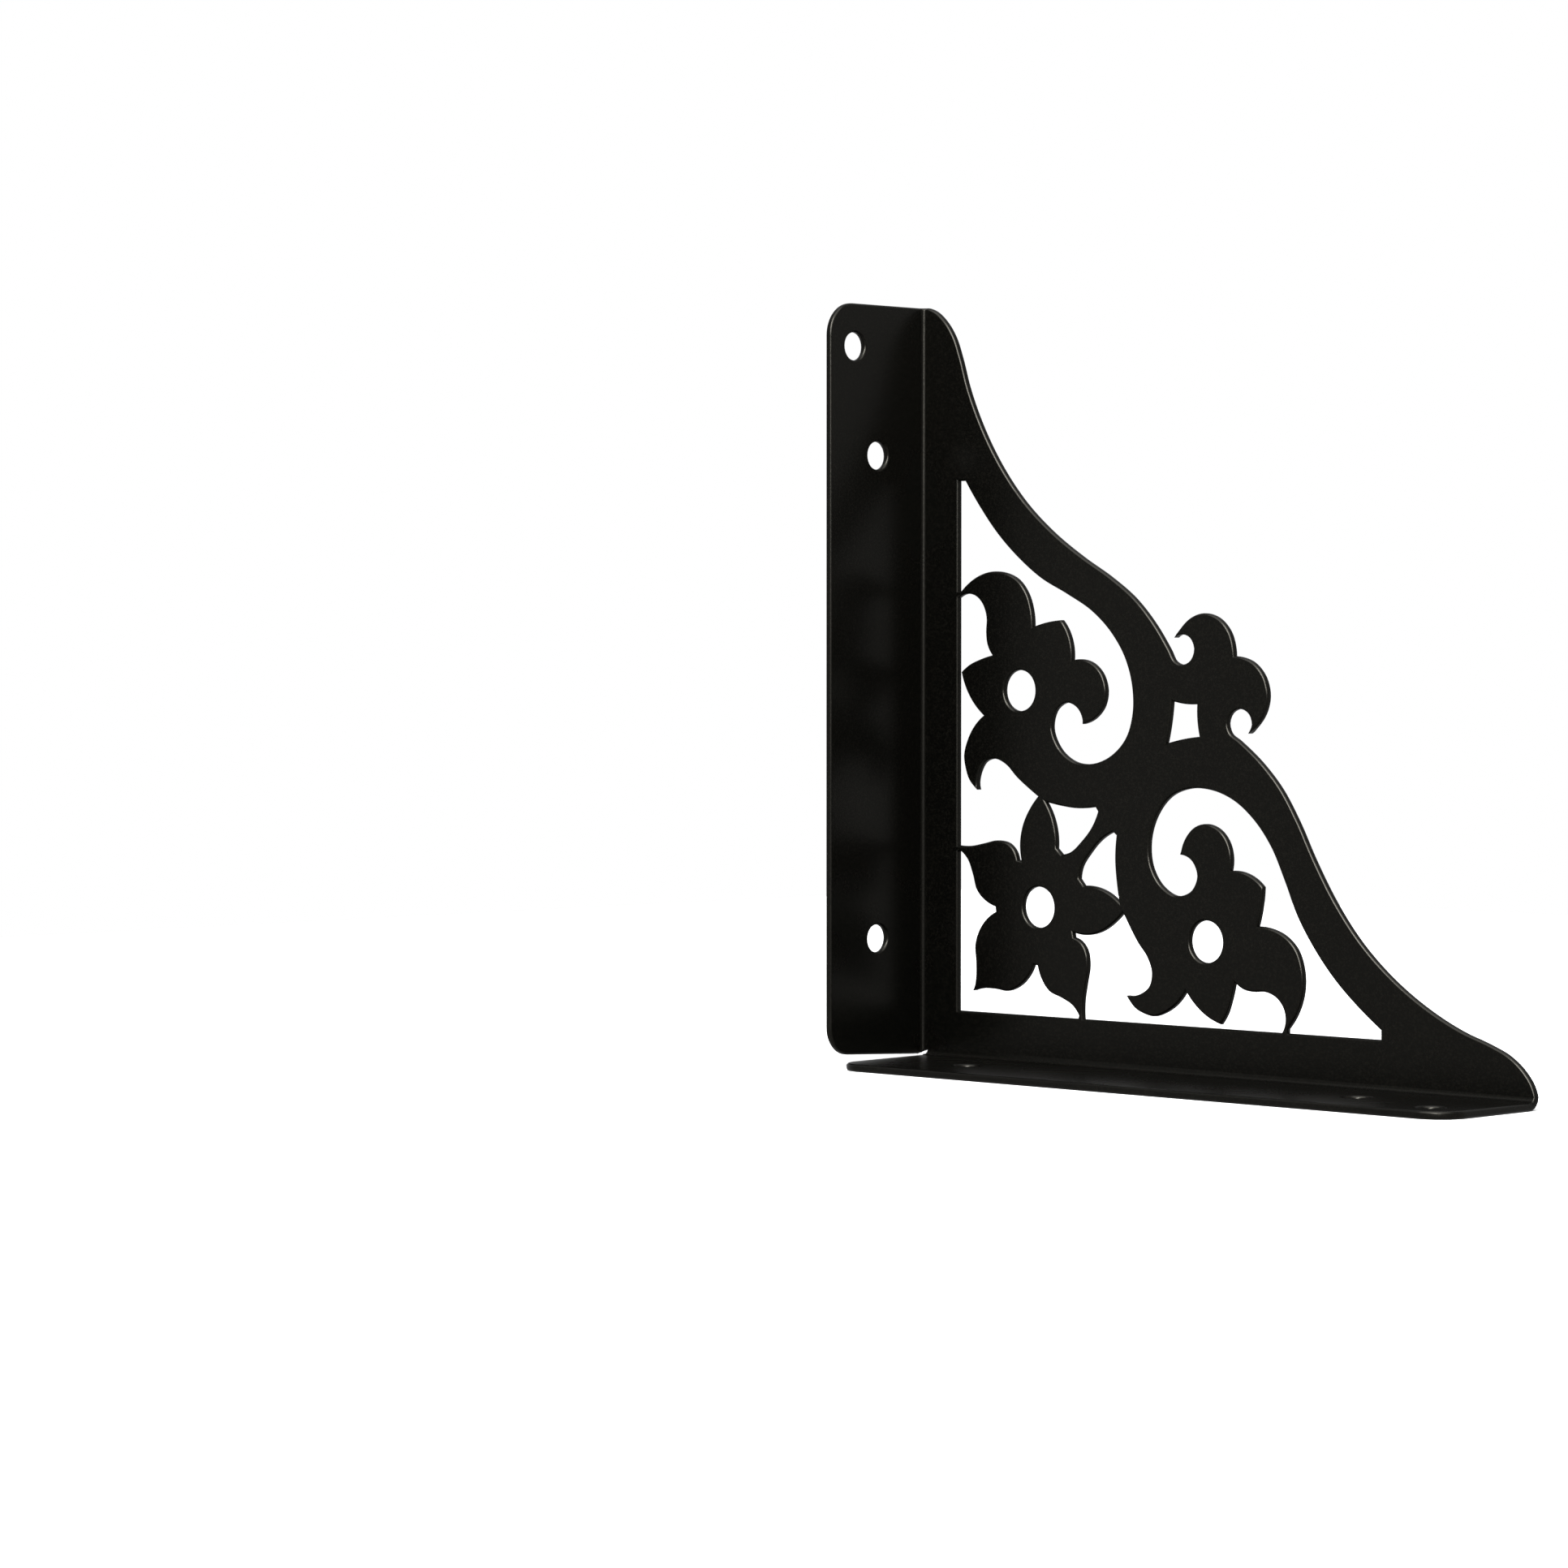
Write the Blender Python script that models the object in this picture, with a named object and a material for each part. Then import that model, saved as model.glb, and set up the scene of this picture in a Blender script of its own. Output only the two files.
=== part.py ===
"""A scrollwork shelf bracket, laser cut from one steel sheet and bent twice.

The web is an upright plate, pierced with two mirrored S-scrolls, three flowers and a finial. The
sheet is shaped with its corner at the origin: the wall flange's back lies in the plane X = 0, the
shelf flange's underside in the plane Z = 0 and the web's back in the plane Y = 0, and both flanges
point towards -Y. The sheet is its own mirror image across the web's diagonal, where X equals Z.
The bracket stands on its shelf flange, with its origin under the middle of its box.
"""

import math

import bmesh
import bpy
import numpy as np

MM = 0.001

# The sheet and its two bends
LEG = 150.0 * MM
FLANGE_WIDTH = 28.0 * MM
SHEET = 1.5 * MM
INNER_BEND = 1.0 * MM
BEND_FACETS = 6
END_CORNER = 6.5 * MM
HEEL_CORNER = 5.5 * MM

# At the heel each flange clears the other's face and opens away from it like a wedge
HEEL_CLEARANCE = 0.2 * MM
HEEL_TAPER = math.radians(2.7)

# Screw holes in each flange: distance from the corner along the leg, and from the web's back
SCREW_HOLE = 5.5 * MM
SCREW_PLACES = ((25.2 * MM, 14.5 * MM), (120.4 * MM, 14.5 * MM), (141.6 * MM, 21.0 * MM))

# Round hearts of the flowers
HEART = 8.0 * MM
CORNER_FLOWER = 32.0 * MM
LEG_FLOWER = (74.2 * MM, 27.0 * MM)

# Solid strip that the cutting leaves along each leg, in millimetres like the outlines below
STRIP = 10.75

# Length of one facet on a curve and on a hole's rim, and the angle from which an edge is sharp
FACET = 0.68 * MM
RIM_FACET = 0.55 * MM
SHARP_EDGE = math.radians(35)

# A point this close to a bending line counts as on it
ON_LINE = 1e-8

# Satin black powder coat
COAT_BLACK = (0.010, 0.010, 0.009, 1.0)
COAT_ROUGHNESS = 0.42

# Half outlines below the diagonal, in millimetres from the corner. Each is a chain of stretches
# that meet at sharp corners: two points make a straight cut, and more make one smooth curve.
FREE_EDGE = (
    ((80.9, 80.9), (82.4, 80.75), (85.4, 79.7), (88.1, 76.9), (89.0, 73.4), (88.1, 70.1),
     (86.6, 68.1), (84.4, 66.4)),
    ((84.4, 66.4), (85.0, 68.1), (84.4, 69.9), (82.3, 71.0), (80.2, 70.2), (79.3, 68.3),
     (79.9, 66.5), (82.0, 65.1), (87.5, 60.9), (92.0, 56.3), (96.0, 50.4), (100.0, 43.2),
     (105.0, 35.4), (111.0, 28.2), (118.0, 22.1), (126.0, 16.95), (134.0, 13.2), (140.0, 11.2),
     (144.0, 9.5), (147.2, 7.1), (149.3, 4.4), (150.0, 2.5)),
)
SCROLL_GAP = (
    ((93.8, STRIP), (115.5, STRIP)),
    ((115.5, STRIP), (115.5, 12.5)),
    ((115.5, 12.5), (110.0, 16.6), (105.0, 21.0), (100.0, 26.7), (96.0, 32.6), (93.0, 39.0),
     (89.5, 45.6), (85.5, 50.3), (80.5, 53.9), (75.0, 55.7), (70.0, 55.8), (65.5, 54.3),
     (61.8, 50.4), (60.15, 45.5), (60.6, 41.0), (63.2, 37.2), (67.3, 35.4), (70.6, 36.6),
     (71.9, 39.3), (70.7, 42.0), (67.8, 43.3)),
    ((67.8, 43.3), (68.9, 46.3), (71.3, 48.6), (74.2, 49.25), (77.4, 48.2), (79.6, 45.7),
     (80.3, 43.2), (80.1, 40.6)),
    ((80.1, 40.6), (83.2, 40.4), (85.8, 39.4), (87.9, 37.8)),
    ((87.9, 37.8), (87.6, 34.6), (86.6, 30.4)),
    ((86.6, 30.4), (89.8, 30.1), (93.2, 28.8), (95.8, 26.5), (97.3, 22.9), (97.5, 19.2),
     (96.7, 16.0), (95.2, 13.2), (93.8, 11.5)),
    ((93.8, 11.5), (93.8, STRIP)),
)
PETAL_GAP = (
    ((43.5, STRIP), (43.5, 14.2), (44.1, 17.6), (44.75, 21.2), (44.2, 24.2), (42.8, 25.8),
     (41.1, 26.5)),
    ((41.1, 26.5), (40.9, 27.45)),
    ((40.9, 27.45), (44.6, 27.05), (48.0, 27.8), (51.2, 29.6), (53.6, 31.7)),
    ((53.6, 31.7), (54.9, 29.6), (57.3, 26.1), (59.7, 23.3), (60.75, 20.5), (60.1, 17.9),
     (58.0, 16.4), (54.6, 15.9)),
    ((54.6, 15.9), (56.4, 13.7), (58.9, 12.6), (61.2, 12.2), (64.3, 13.1), (67.0, 14.8),
     (69.25, 17.4)),
    ((69.25, 17.4), (71.6, 14.8), (74.3, 12.9), (77.8, 11.55)),
    ((77.8, 11.55), (79.1, 13.4), (80.2, 16.2), (81.1, 19.7)),
    ((81.1, 19.7), (83.2, 18.4), (85.6, 18.05), (88.6, 18.15), (91.2, 17.1), (92.9, 15.0),
     (93.2, 12.8), (92.4, STRIP)),
    ((92.4, STRIP), (43.5, STRIP)),
)
STEM_GAP = (
    ((42.45, 37.9), (42.8, 39.7), (45.2, 43.0), (48.3, 45.8), (51.0, 47.15)),
    ((51.0, 47.15), (51.85, 46.5)),
    ((51.85, 46.5), (51.5, 42.0), (51.85, 38.0), (52.6, 33.8)),
    ((52.6, 33.8), (50.0, 35.4), (47.2, 36.35), (43.6, 36.6)),
    ((43.6, 36.6), (42.45, 37.9)),
)
CORNER_GAP = (
    ((14.9, 14.9), (17.4, 15.45), (20.6, 15.5), (24.0, 15.25), (27.2, 16.5), (29.4, 18.5),
     (30.7, 20.75)),
    ((30.7, 20.75), (31.7, 20.6)),
    ((31.7, 20.6), (32.5, 18.4), (34.6, 15.8), (38.0, 14.55), (40.8, 13.2), (42.4, 11.4)),
    ((42.4, 11.4), (42.2, STRIP)),
    ((42.2, STRIP), (STRIP, STRIP)),
)
FINIAL_WINDOW = (
    ((64.3, 64.3), (68.4, 65.2), (72.4, 65.7)),
    ((72.4, 65.7), (71.85, 68.7), (71.8, 71.8)),
)

# Flat pattern: where each bend begins and ends, and the flange's cut edge
BEND_START = SHEET + INNER_BEND
BEND_LENGTH = (INNER_BEND + SHEET / 2) * math.pi / 2
BEND_END = BEND_START - BEND_LENGTH
FLANGE_EDGE = BEND_END - (FLANGE_WIDTH - BEND_START)


def clear_scene():
    for obj in list(bpy.data.objects):
        bpy.data.objects.remove(obj)


def smooth_curve(points):
    """Points of one smooth cubic through the given points, a facet apart."""
    points = np.array(points) * MM
    steps = np.diff(points, axis=0)
    lengths = np.linalg.norm(steps, axis=1)
    slopes = steps / lengths[:, None]
    before, after = lengths[:-1, None], lengths[1:, None]
    inner = (after * slopes[:-1] + before * slopes[1:]) / (before + after)
    tangents = np.vstack([2 * slopes[0] - inner[0], inner, 2 * slopes[-1] - inner[-1]])
    curve = []
    for i, length in enumerate(lengths):
        start, end = points[i], points[i + 1]
        leaving, arriving = tangents[i] * length, tangents[i + 1] * length
        count = max(2, round(length / FACET))
        for t in np.arange(count) / count:
            rest = 1 - t
            curve.append(
                start * (1 + 2 * t) * rest**2 + leaving * t * rest**2
                + end * (3 - 2 * t) * t**2 - arriving * rest * t**2
            )
    return curve


def trace(stretches):
    """Points of a chain of stretches, without its last point."""
    outline = []
    for points in stretches:
        if len(points) == 2:
            outline.append(np.array(points[0]) * MM)
        else:
            outline.extend(smooth_curve(points))
    return np.array(outline)


def mirrored(outline):
    """The outline reflected across the web's diagonal."""
    return outline[::-1, ::-1]


def symmetric(stretches):
    """A closed outline from a half whose two ends lie on the diagonal."""
    half = np.vstack([trace(stretches), np.array(stretches[-1][-1]) * MM])
    return np.vstack([half, mirrored(half)[1:-1]])


def arc(centre, radius, start, turn):
    """Points along an arc, with its angles in degrees."""
    count = max(4, math.ceil(abs(math.radians(turn)) * radius / FACET))
    angles = np.radians(start + turn * np.arange(count + 1) / count)
    return np.array(centre) + radius * np.column_stack([np.cos(angles), np.sin(angles)])


def circle(centre, diameter):
    count = round(math.pi * diameter / RIM_FACET / 4) * 4
    angles = 2 * math.pi * np.arange(count) / count
    return np.array(centre) + diameter / 2 * np.column_stack([np.cos(angles), np.sin(angles)])


def blank_outline():
    """The flat sheet's outer edge, from the notch of the finial round both flanges."""
    far = arc((LEG - END_CORNER, FLANGE_EDGE + END_CORNER), END_CORNER, 0, -90)
    notch = [(SHEET + HEEL_CLEARANCE, BEND_END), (BEND_START, BEND_START)]
    height = FLANGE_EDGE + HEEL_CORNER
    flange_end = SHEET + HEEL_CLEARANCE + (BEND_END - height) * math.tan(HEEL_TAPER)
    centre = (flange_end + HEEL_CORNER / math.cos(HEEL_TAPER), height)
    heel = arc(centre, HEEL_CORNER, -90, math.degrees(HEEL_TAPER) - 90)
    lower = np.vstack([trace(FREE_EDGE), [(LEG, BEND_START)], far, heel, notch])
    return np.vstack([lower, mirrored(lower)[1:-1]])


def cut_outlines():
    """Every gap and hole in the flat sheet."""
    one_side = [trace(gap) for gap in (SCROLL_GAP, PETAL_GAP, STEM_GAP)]
    one_side.append(circle(LEG_FLOWER, HEART))
    for along, from_back in SCREW_PLACES:
        across = FLANGE_EDGE + FLANGE_WIDTH - from_back
        one_side.append(circle((along, across), SCREW_HOLE))
    on_diagonal = [symmetric(CORNER_GAP), symmetric(FINIAL_WINDOW)]
    on_diagonal.append(circle((CORNER_FLOWER, CORNER_FLOWER), HEART))
    return one_side + [mirrored(outline) for outline in one_side] + on_diagonal


def flat_blank():
    """The cut sheet before bending, with its back at Y = 0."""
    blank = bmesh.new()
    for outline in [blank_outline(), *cut_outlines()]:
        ring = [blank.verts.new((x, 0, z)) for x, z in outline]
        for here, following in zip(ring, ring[1:] + ring[:1]):
            blank.edges.new((here, following))
    bmesh.ops.triangle_fill(blank, use_beauty=True, edges=blank.edges[:], normal=(0, 1, 0))
    raised = bmesh.ops.extrude_face_region(blank, geom=blank.faces[:])["geom"]
    front = [item for item in raised if isinstance(item, bmesh.types.BMVert)]
    bmesh.ops.translate(blank, verts=front, vec=(0, -SHEET, 0))
    bmesh.ops.recalc_face_normals(blank, faces=blank.faces[:])
    return blank


def score(blank):
    """Cuts the blank's faces along both bends, so that each bend turns in facets."""
    for normal in ((1, 0, 0), (0, 0, 1)):
        for step in range(BEND_FACETS + 1):
            distance = BEND_START - BEND_LENGTH * step / BEND_FACETS
            place = [distance * side for side in normal]
            geometry = blank.verts[:] + blank.edges[:] + blank.faces[:]
            bmesh.ops.bisect_plane(
                blank, geom=geometry, dist=ON_LINE, plane_co=place, plane_no=normal
            )


def bent(across, depth):
    """Where a point of the flat sheet goes, as its distance from the flange's back and its Y."""
    radius = BEND_START + depth
    past = BEND_START - across
    if past <= 0:
        return across, depth
    angle = min(past / BEND_LENGTH, 1) * math.pi / 2
    straight = max(past - BEND_LENGTH, 0)
    return BEND_START - radius * math.sin(angle), -BEND_START + radius * math.cos(angle) - straight


def bend(blank):
    for corner in blank.verts:
        x, depth, z = corner.co
        if x < z:
            x, y = bent(x, depth)
        else:
            z, y = bent(z, depth)
        corner.co = (x, y, z)


def make_material():
    material = bpy.data.materials.new("black_powder_coat")
    material.use_nodes = True
    shader = material.node_tree.nodes["Principled BSDF"]
    shader.inputs["Base Color"].default_value = COAT_BLACK
    shader.inputs["Roughness"].default_value = COAT_ROUGHNESS
    return material


def make_bracket():
    blank = flat_blank()
    score(blank)
    bend(blank)
    bmesh.ops.triangulate(blank, faces=blank.faces[:])
    mesh = bpy.data.meshes.new("bracket")
    blank.to_mesh(mesh)
    blank.free()
    mesh.shade_smooth()
    mesh.set_sharp_from_angle(angle=SHARP_EDGE)
    mesh.materials.append(make_material())
    bracket = bpy.data.objects.new("bracket", mesh)
    bracket.location = (-LEG / 2, FLANGE_WIDTH / 2, 0)
    bpy.context.scene.collection.objects.link(bracket)


clear_scene()
make_bracket()
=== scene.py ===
"""The looks of a scrollwork shelf bracket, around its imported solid. Metres, +Z up."""
import math

import bmesh
import bpy
import numpy as np
from mathutils import Matrix, Vector


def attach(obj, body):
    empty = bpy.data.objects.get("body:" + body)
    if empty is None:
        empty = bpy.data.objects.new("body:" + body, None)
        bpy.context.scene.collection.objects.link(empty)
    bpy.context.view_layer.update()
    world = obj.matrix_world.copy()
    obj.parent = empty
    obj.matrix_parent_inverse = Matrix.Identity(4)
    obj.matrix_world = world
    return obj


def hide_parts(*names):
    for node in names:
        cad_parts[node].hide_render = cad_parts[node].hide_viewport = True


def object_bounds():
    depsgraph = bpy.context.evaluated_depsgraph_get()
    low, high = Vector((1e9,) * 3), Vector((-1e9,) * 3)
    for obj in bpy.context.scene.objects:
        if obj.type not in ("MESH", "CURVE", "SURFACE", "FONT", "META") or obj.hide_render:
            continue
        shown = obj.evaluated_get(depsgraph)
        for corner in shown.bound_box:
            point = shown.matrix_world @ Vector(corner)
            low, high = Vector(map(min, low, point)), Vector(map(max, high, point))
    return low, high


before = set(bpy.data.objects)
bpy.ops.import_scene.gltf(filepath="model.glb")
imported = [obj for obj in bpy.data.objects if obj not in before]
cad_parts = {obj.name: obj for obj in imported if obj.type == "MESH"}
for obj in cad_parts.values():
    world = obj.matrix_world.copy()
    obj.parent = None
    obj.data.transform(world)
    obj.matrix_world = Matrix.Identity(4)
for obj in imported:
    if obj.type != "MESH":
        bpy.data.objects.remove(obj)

solid_low, solid_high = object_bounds()
MM = 0.001


# The camera stands at the bracket's right front, a little above its middle, with a portrait lens.
# The photograph has the bracket right of the middle, so the camera points past its left side.
CAMERA_AZIMUTH, CAMERA_ELEVATION = 44.6, 1.5
CAMERA_DISTANCE = 900 * MM
AIM_LEFT = 81.1 * MM
AIM_BELOW = 18.2 * MM
SENSOR = 36.0
LENS = 109.6


def direction(azimuth, elevation):
    """The unit vector that points from the bracket to this azimuth and elevation, in degrees."""
    azimuth, elevation = math.radians(azimuth), math.radians(elevation)
    return Vector((
        math.sin(azimuth) * math.cos(elevation),
        -math.cos(azimuth) * math.cos(elevation),
        math.sin(elevation),
    ))


backwards = direction(CAMERA_AZIMUTH, CAMERA_ELEVATION)
turned = backwards.to_track_quat("Z", "Y").to_matrix()
web_middle = Vector((
    (solid_low.x + solid_high.x) / 2,
    solid_high.y,
    (solid_low.z + solid_high.z) / 2,
))
lens = bpy.data.cameras.new("camera")
lens.lens = LENS
lens.sensor_width = SENSOR
camera = bpy.data.objects.new("camera", lens)
camera.matrix_world = Matrix.Translation(
    web_middle + backwards * CAMERA_DISTANCE - turned.col[0] * AIM_LEFT - turned.col[1] * AIM_BELOW
) @ turned.to_4x4()
bpy.context.scene.collection.objects.link(camera)
bpy.context.scene.camera = camera


# The bracket is one steel sheet, laser cut along its scrollwork and bent twice along its legs.
# It is powder coated as a whole, and the baked coat rounds every arris that the laser left.
SHEET = 1.5 * MM
COAT_ROUNDING = 0.42 * MM
ROUNDING_STEPS = 4
DEBURRED_FLAT = 0.6
SHARE_OF_WIDTH = 0.8
SHARE_OF_FACET = 0.4
SMOOTH_BELOW = math.radians(38)
SAME_POINT = 0.005 * MM
SAME_LENGTH = 0.0001 * MM
SAME_PLANE = math.radians(0.3)

# The edge from each outline point through the steel to its twin lies between two cut walls.
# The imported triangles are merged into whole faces, which keep those edges.
steel = bmesh.new()
steel.from_mesh(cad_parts["bracket"].data)
bmesh.ops.remove_doubles(steel, verts=steel.verts, dist=SAME_POINT)
for edge in steel.edges:
    edge.seam = abs(edge.calc_length() - SHEET) < SAME_LENGTH
bmesh.ops.dissolve_limit(
    steel, angle_limit=SAME_PLANE, verts=steel.verts, edges=steel.edges, delimit={"SEAM"})
steel.verts.index_update()
through = {vert: edge for edge in steel.edges if edge.seam for vert in edge.verts}
walls = {wall for edge in through.values() for wall in edge.link_faces}

# Each outline point gets a quarter circle of points, from its cut wall to the sheet's face.
# It is as wide as the coat's rounding, or less where a petal's tip is too narrow or too sharp.
# Deburring has left its middle flatter than a true circle, which widens the light along it.
places = np.array([vert.co for vert in steel.verts])
quarter = []
for step in range(ROUNDING_STEPS + 1):
    share = step / ROUNDING_STEPS
    tilt = math.pi / 2 * share
    quarter.append((
        DEBURRED_FLAT * share + (1 - DEBURRED_FLAT) * (1 - math.cos(tilt)),
        DEBURRED_FLAT * (1 - share) + (1 - DEBURRED_FLAT) * (1 - math.sin(tilt)),
    ))
rounded = bmesh.new()
arris = {}
for vert in steel.verts:
    if vert not in through:
        arris[vert] = [rounded.verts.new(vert.co)]
        continue
    edge = through[vert]
    first, second = (wall.normal for wall in edge.link_faces)
    inwards = -(first + second) / (1 + first.dot(second))
    downwards = (edge.other_vert(vert).co - vert.co).normalized()
    cuts = [cut for cut in vert.link_edges if len(walls.intersection(cut.link_faces)) == 1]
    beside = [cut.other_vert(vert) for cut in cuts]
    away = np.delete(places, [vert.index, *(other.index for other in beside)], axis=0) - vert.co
    ahead = away @ np.array(inwards.normalized())
    facing = ahead > SAME_POINT
    half_width = ((away[facing] ** 2).sum(axis=1) / (2 * ahead[facing])).min()
    reach = min(COAT_ROUNDING, SHARE_OF_WIDTH * half_width)
    turn = edge.calc_face_angle_signed()
    if turn > 0:
        facet = min(cut.calc_length() for cut in cuts)
        reach = min(reach, SHARE_OF_FACET * facet / math.tan(turn / 2))
    arris[vert] = [
        rounded.verts.new(vert.co + (inwards * across + downwards * down) * reach)
        for across, down in quarter
    ]

# A cut wall ends at the first point of each quarter circle and a face of the sheet at the last.
# Bands of narrow faces join the two along every cut.
for face in steel.faces:
    end = 0 if face in walls else -1
    rounded.faces.new([arris[vert][end] for vert in face.verts])
for wall in [face for face in steel.faces if face in walls]:
    for loop in wall.loops:
        if not walls.issuperset(loop.edge.link_faces):
            here, following = arris[loop.vert], arris[loop.link_loop_next.vert]
            for step in range(ROUNDING_STEPS):
                band = [following[step], here[step], here[step + 1], following[step + 1]]
                rounded.faces.new(band)

sheet = bpy.data.objects.new("scroll_bracket", bpy.data.meshes.new("scroll_bracket"))
rounded.to_mesh(sheet.data)
steel.free()
rounded.free()
bpy.context.scene.collection.objects.link(sheet)
bpy.ops.object.select_all(action="DESELECT")
sheet.select_set(True)
bpy.context.view_layer.objects.active = sheet
bpy.ops.object.shade_smooth_by_angle(angle=SMOOTH_BELOW)
evening = sheet.modifiers.new("flat_faces_shade_flat", "WEIGHTED_NORMAL")
evening.keep_sharp = True
bpy.ops.object.modifier_apply(modifier=evening.name)


class Wire:
    """A node's output. Sums on it are written as Python, and each one adds its Math node."""

    def __init__(self, socket):
        self.socket = socket

    def node(self, kind, settings, inputs, output=0):
        """Another node of the same tree: its settings are set first, then its inputs."""
        made = self.socket.id_data.nodes.new(kind)
        for name, value in settings.items():
            setattr(made, name, value)
        for place, value in inputs.items():
            if isinstance(value, Wire):
                self.socket.id_data.links.new(value.socket, made.inputs[place])
            else:
                made.inputs[place].default_value = value
        return Wire(made.outputs[output])

    def sum(self, operation, first, second):
        return self.node("ShaderNodeMath", {"operation": operation}, {0: first, 1: second})

    def __add__(self, other):
        return self.sum("ADD", self, other)

    def __sub__(self, other):
        return self.sum("SUBTRACT", self, other)

    def __mul__(self, other):
        return self.sum("MULTIPLY", self, other)

    def __gt__(self, other):
        return self.sum("GREATER_THAN", self, other)

    def __lt__(self, other):
        return self.sum("LESS_THAN", self, other)

    __radd__ = __add__
    __rmul__ = __mul__


# The coat is a satin black polyester powder, sprayed on dry and baked until it flows together.
# It keeps a fine orange peel and some grain, dulls in soft patches, and holds a few dust specks.
COAT_BLACK = (0.0005, 0.0005, 0.0004, 1)
COAT_FLECK = (0.0024, 0.0022, 0.0017, 1)
DUST = (0.20, 0.19, 0.16, 1)
SATIN, DULL = 0.23, 0.31
PEEL_PER_METRE = 1100
GRAIN_PER_METRE = 2600
PATCHES_PER_METRE = 35
PEEL_HEIGHT = 0.018 * MM
GRAIN_HEIGHT = 0.005 * MM
FINE_DETAIL, PATCH_DETAIL = 2.0, 5.0
FLECKS_FROM, FLECK_CONTRAST, PATCH_SHARE = 0.50, 3.0, 0.22
DUST_CELLS_PER_METRE = 160
DUST_RADIUS = 0.03
DUST_FREE_SHARE = 0.97
DUST_DULLS = 0.25
MIRROR_LEVEL = 0.16
MIRROR_TINT = (1.0, 0.96, 0.84, 1)
BUMP_METRES, BUMP_STRENGTH = 1.0, 1.0
MIX_FACTOR, MIX_FIRST, MIX_SECOND, MIX_RESULT = 0, 6, 7, 2

coat = bpy.data.materials.new("black_powder_coat")
coat.use_nodes = True
shader = coat.node_tree.nodes["Principled BSDF"]
place = Wire(coat.node_tree.nodes.new("ShaderNodeTexCoord").outputs["Object"])
peel, grain, patches = (
    place.node("ShaderNodeTexNoise", {}, {"Vector": place, "Scale": per_metre, "Detail": detail})
    for per_metre, detail in (
        (PEEL_PER_METRE, FINE_DETAIL),
        (GRAIN_PER_METRE, FINE_DETAIL),
        (PATCHES_PER_METRE, PATCH_DETAIL),
    )
)
cells = {"Vector": place, "Scale": DUST_CELLS_PER_METRE}
dust_distance = place.node("ShaderNodeTexVoronoi", {}, cells)
dust_colour = place.node("ShaderNodeTexVoronoi", {}, cells, output="Color")
dust_pick = place.node("ShaderNodeSeparateColor", {}, {"Color": dust_colour})
dust = (dust_distance < DUST_RADIUS) * (dust_pick > DUST_FREE_SHARE)
flecks = FLECK_CONTRAST * (grain - FLECKS_FROM) + PATCH_SHARE * patches
colour = COAT_BLACK
for share, speck in ((flecks, COAT_FLECK), (dust, DUST)):
    colour = place.node(
        "ShaderNodeMix",
        {"data_type": "RGBA"},
        {MIX_FACTOR: share, MIX_FIRST: colour, MIX_SECOND: speck},
        output=MIX_RESULT,
    )
roughness = SATIN + (DULL - SATIN) * patches + DUST_DULLS * dust
height = PEEL_HEIGHT * peel + GRAIN_HEIGHT * grain
relief = place.node(
    "ShaderNodeBump", {}, {"Height": height, "Distance": BUMP_METRES, "Strength": BUMP_STRENGTH})
for name, wire in {"Base Color": colour, "Roughness": roughness, "Normal": relief}.items():
    coat.node_tree.links.new(wire.socket, shader.inputs[name])
shader.inputs["Specular IOR Level"].default_value = MIRROR_LEVEL
shader.inputs["Specular Tint"].default_value = MIRROR_TINT

sheet.data.materials.append(coat)
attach(sheet, "root")
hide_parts("bracket")


# The bracket stands on its shelf flange, on a square of plain white studio floor.
FLOOR_SIZE = 1.1
FLOOR_WHITE = (0.86, 0.86, 0.86, 1)
FLOOR_DULL = 0.9
bpy.ops.object.select_all(action="DESELECT")
bpy.ops.mesh.primitive_plane_add(size=FLOOR_SIZE)
floor = bpy.context.object
floor.name = "studio_floor"
paper = bpy.data.materials.new("white_floor")
paper.use_nodes = True
paper.node_tree.nodes["Principled BSDF"].inputs["Base Color"].default_value = FLOOR_WHITE
paper.node_tree.nodes["Principled BSDF"].inputs["Roughness"].default_value = FLOOR_DULL
floor.data.materials.append(paper)
floor.visible_glossy = False


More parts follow.
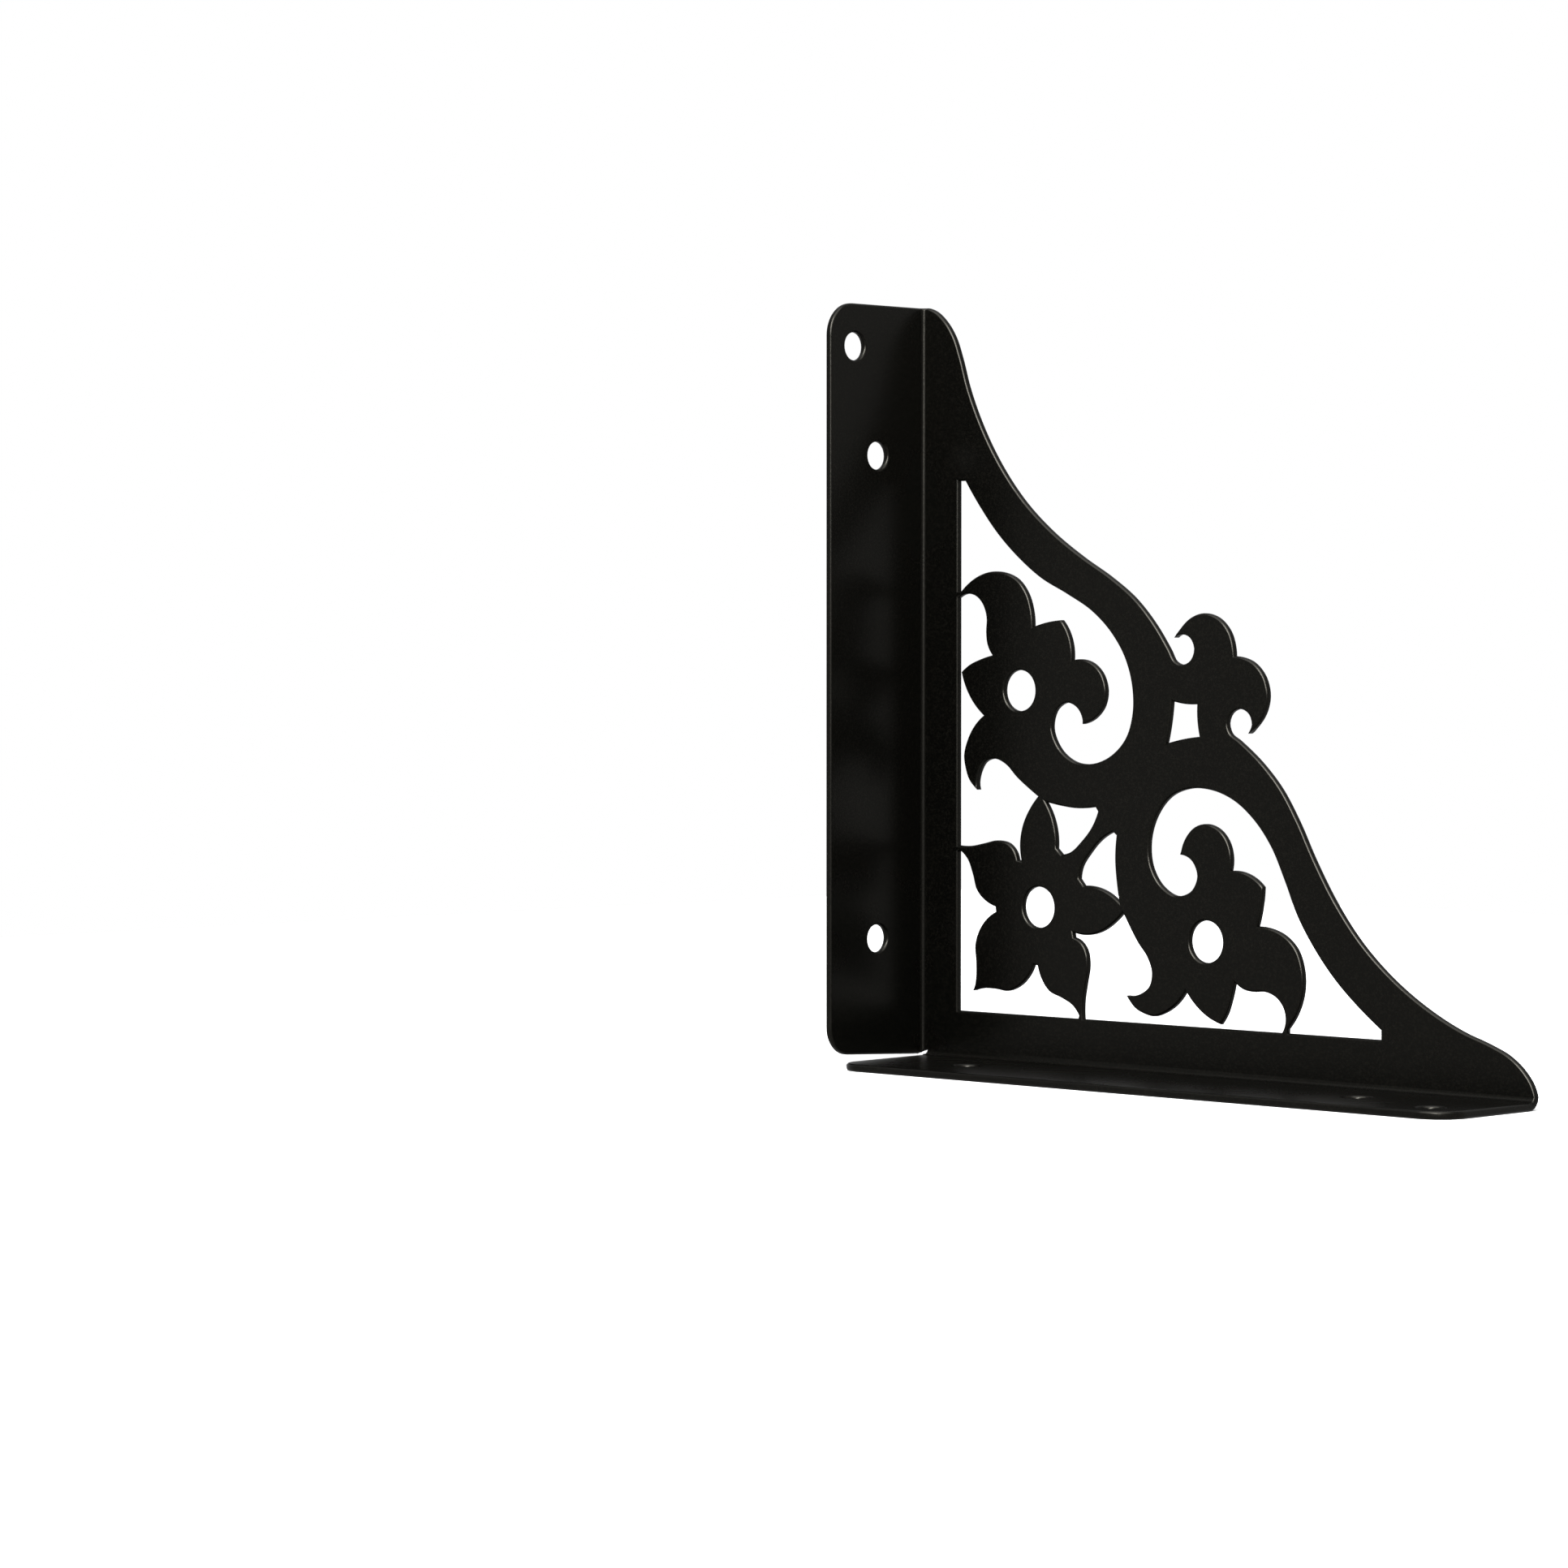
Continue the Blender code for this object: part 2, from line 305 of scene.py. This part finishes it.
# A wide soft light above the camera's side keeps the floor white and leaves the back dark.
# A tall strip softbox leans from the camera's right side up over it, and draws every front arris.
OVERHEAD_AZIMUTH, OVERHEAD_ELEVATION, OVERHEAD_DISTANCE = 20, 65, 1.0
OVERHEAD_SPREAD = math.radians(70)
OVERHEAD_STRENGTH = 4.0
STRIP_AZIMUTH, STRIP_ELEVATION, STRIP_DISTANCE = 33, 34, 1.15
STRIP_LEAN = 20
STRIP_WIDTH, STRIP_HEIGHT = 0.22, 1.12
STRIP_POWER = 35.0
ROOM = 0.5
ROOM_WHITE = (1, 1, 1, 1)


def stand(light, azimuth, elevation, distance, lean=0):
    """The light at its place round the web's middle, which it faces. Angles are in degrees."""
    towards = direction(azimuth, elevation)
    placed = bpy.data.objects.new(light.name, light)
    placed.matrix_world = (
        Matrix.Translation(web_middle + towards * distance)
        @ towards.to_track_quat("Z", "Y").to_matrix().to_4x4()
        @ Matrix.Rotation(math.radians(lean), 4, "Z")
    )
    bpy.context.scene.collection.objects.link(placed)


overhead = bpy.data.lights.new("overhead", "SUN")
overhead.energy = OVERHEAD_STRENGTH
overhead.angle = OVERHEAD_SPREAD
stand(overhead, OVERHEAD_AZIMUTH, OVERHEAD_ELEVATION, OVERHEAD_DISTANCE)

strip = bpy.data.lights.new("strip_softbox", "AREA")
strip.shape = "RECTANGLE"
strip.size, strip.size_y = STRIP_WIDTH, STRIP_HEIGHT
strip.energy = STRIP_POWER
stand(strip, STRIP_AZIMUTH, STRIP_ELEVATION, STRIP_DISTANCE, STRIP_LEAN)

# The room lights the coat at half strength, and only the camera sees it pure white.
bpy.context.scene.view_settings.view_transform = "Standard"
world = bpy.data.worlds.new("studio")
world.use_nodes = True
bpy.context.scene.world = world
room = world.node_tree.nodes["Background"]
seen = Wire(world.node_tree.nodes.new("ShaderNodeLightPath").outputs["Is Camera Ray"])
world.node_tree.links.new((seen * (1 - ROOM) + ROOM).socket, room.inputs["Strength"])
room.inputs["Color"].default_value = ROOM_WHITE
